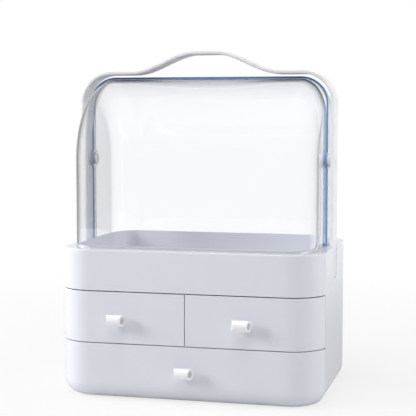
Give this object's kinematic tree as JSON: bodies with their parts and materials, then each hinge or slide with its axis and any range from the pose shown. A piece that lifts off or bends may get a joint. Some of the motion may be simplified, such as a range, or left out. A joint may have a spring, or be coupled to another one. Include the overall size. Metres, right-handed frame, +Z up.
{
  "type": "makeup organizer",
  "caption": "Portable dustproof makeup organizer: open top tray under a clear arched cover in two swinging halves, sliding drawers below, and a strap carry handle.",
  "frame": {"origin": "middle of the flat underside of the case, on the surface that the organizer stands on", "axes": "+Z up; the drawers open towards -Y; +X to the right as seen from the front; the covers swing about an axis along X"},
  "size_m": [0.29, 0.2117, 0.3753],
  "materials": {
    "white_case": "smooth injection-moulded white plastic, semi-gloss",
    "handle": "smooth translucent white plastic",
    "clear_cover": "clear polished plastic with a faint blue edge",
    "screw": "plain zinc-plated steel"
  },
  "bodies": {
    "case": {"lower_case": "white_case", "drawer_shelf": "white_case", "drawer_divider": "white_case", "top_tray": "white_case", "carry_handle": "handle", "left_pivot_pin": "handle", "right_pivot_pin": "handle", "left_handle_screw_0": "screw", "left_handle_screw_1": "screw", "right_handle_screw_0": "screw", "right_handle_screw_1": "screw"},
    "front_cover": {"front_cover": "clear_cover"},
    "rear_cover": {"rear_cover": "clear_cover"},
    "left_drawer": {"left_drawer_box": "white_case", "left_drawer_front": "white_case", "left_drawer_knob": "white_case", "left_drawer_screw": "screw"},
    "right_drawer": {"right_drawer_box": "white_case", "right_drawer_front": "white_case", "right_drawer_knob": "white_case", "right_drawer_screw": "screw"},
    "lower_drawer": {"lower_drawer_box": "white_case", "lower_drawer_front": "white_case", "lower_drawer_knob": "white_case", "lower_drawer_screw": "screw"}
  },
  "joints": [
    {"name": "front_cover_hinge", "type": "hinge", "parent": "case", "child": "front_cover", "pos_m": [0, 0, 0.2555], "axis": [1, 0, 0], "range_deg": [-90, 0]},
    {"name": "rear_cover_hinge", "type": "hinge", "parent": "case", "child": "rear_cover", "pos_m": [0, 0, 0.2555], "axis": [1, 0, 0], "range_deg": [0, 90]},
    {"name": "left_drawer_slide", "type": "slide", "parent": "case", "child": "left_drawer", "axis": [0, -1, 0], "range_m": [0, 0.12]},
    {"name": "right_drawer_slide", "type": "slide", "parent": "case", "child": "right_drawer", "axis": [0, -1, 0], "range_m": [0, 0.12]},
    {"name": "lower_drawer_slide", "type": "slide", "parent": "case", "child": "lower_drawer", "axis": [0, -1, 0], "range_m": [0, 0.12]}
  ]
}
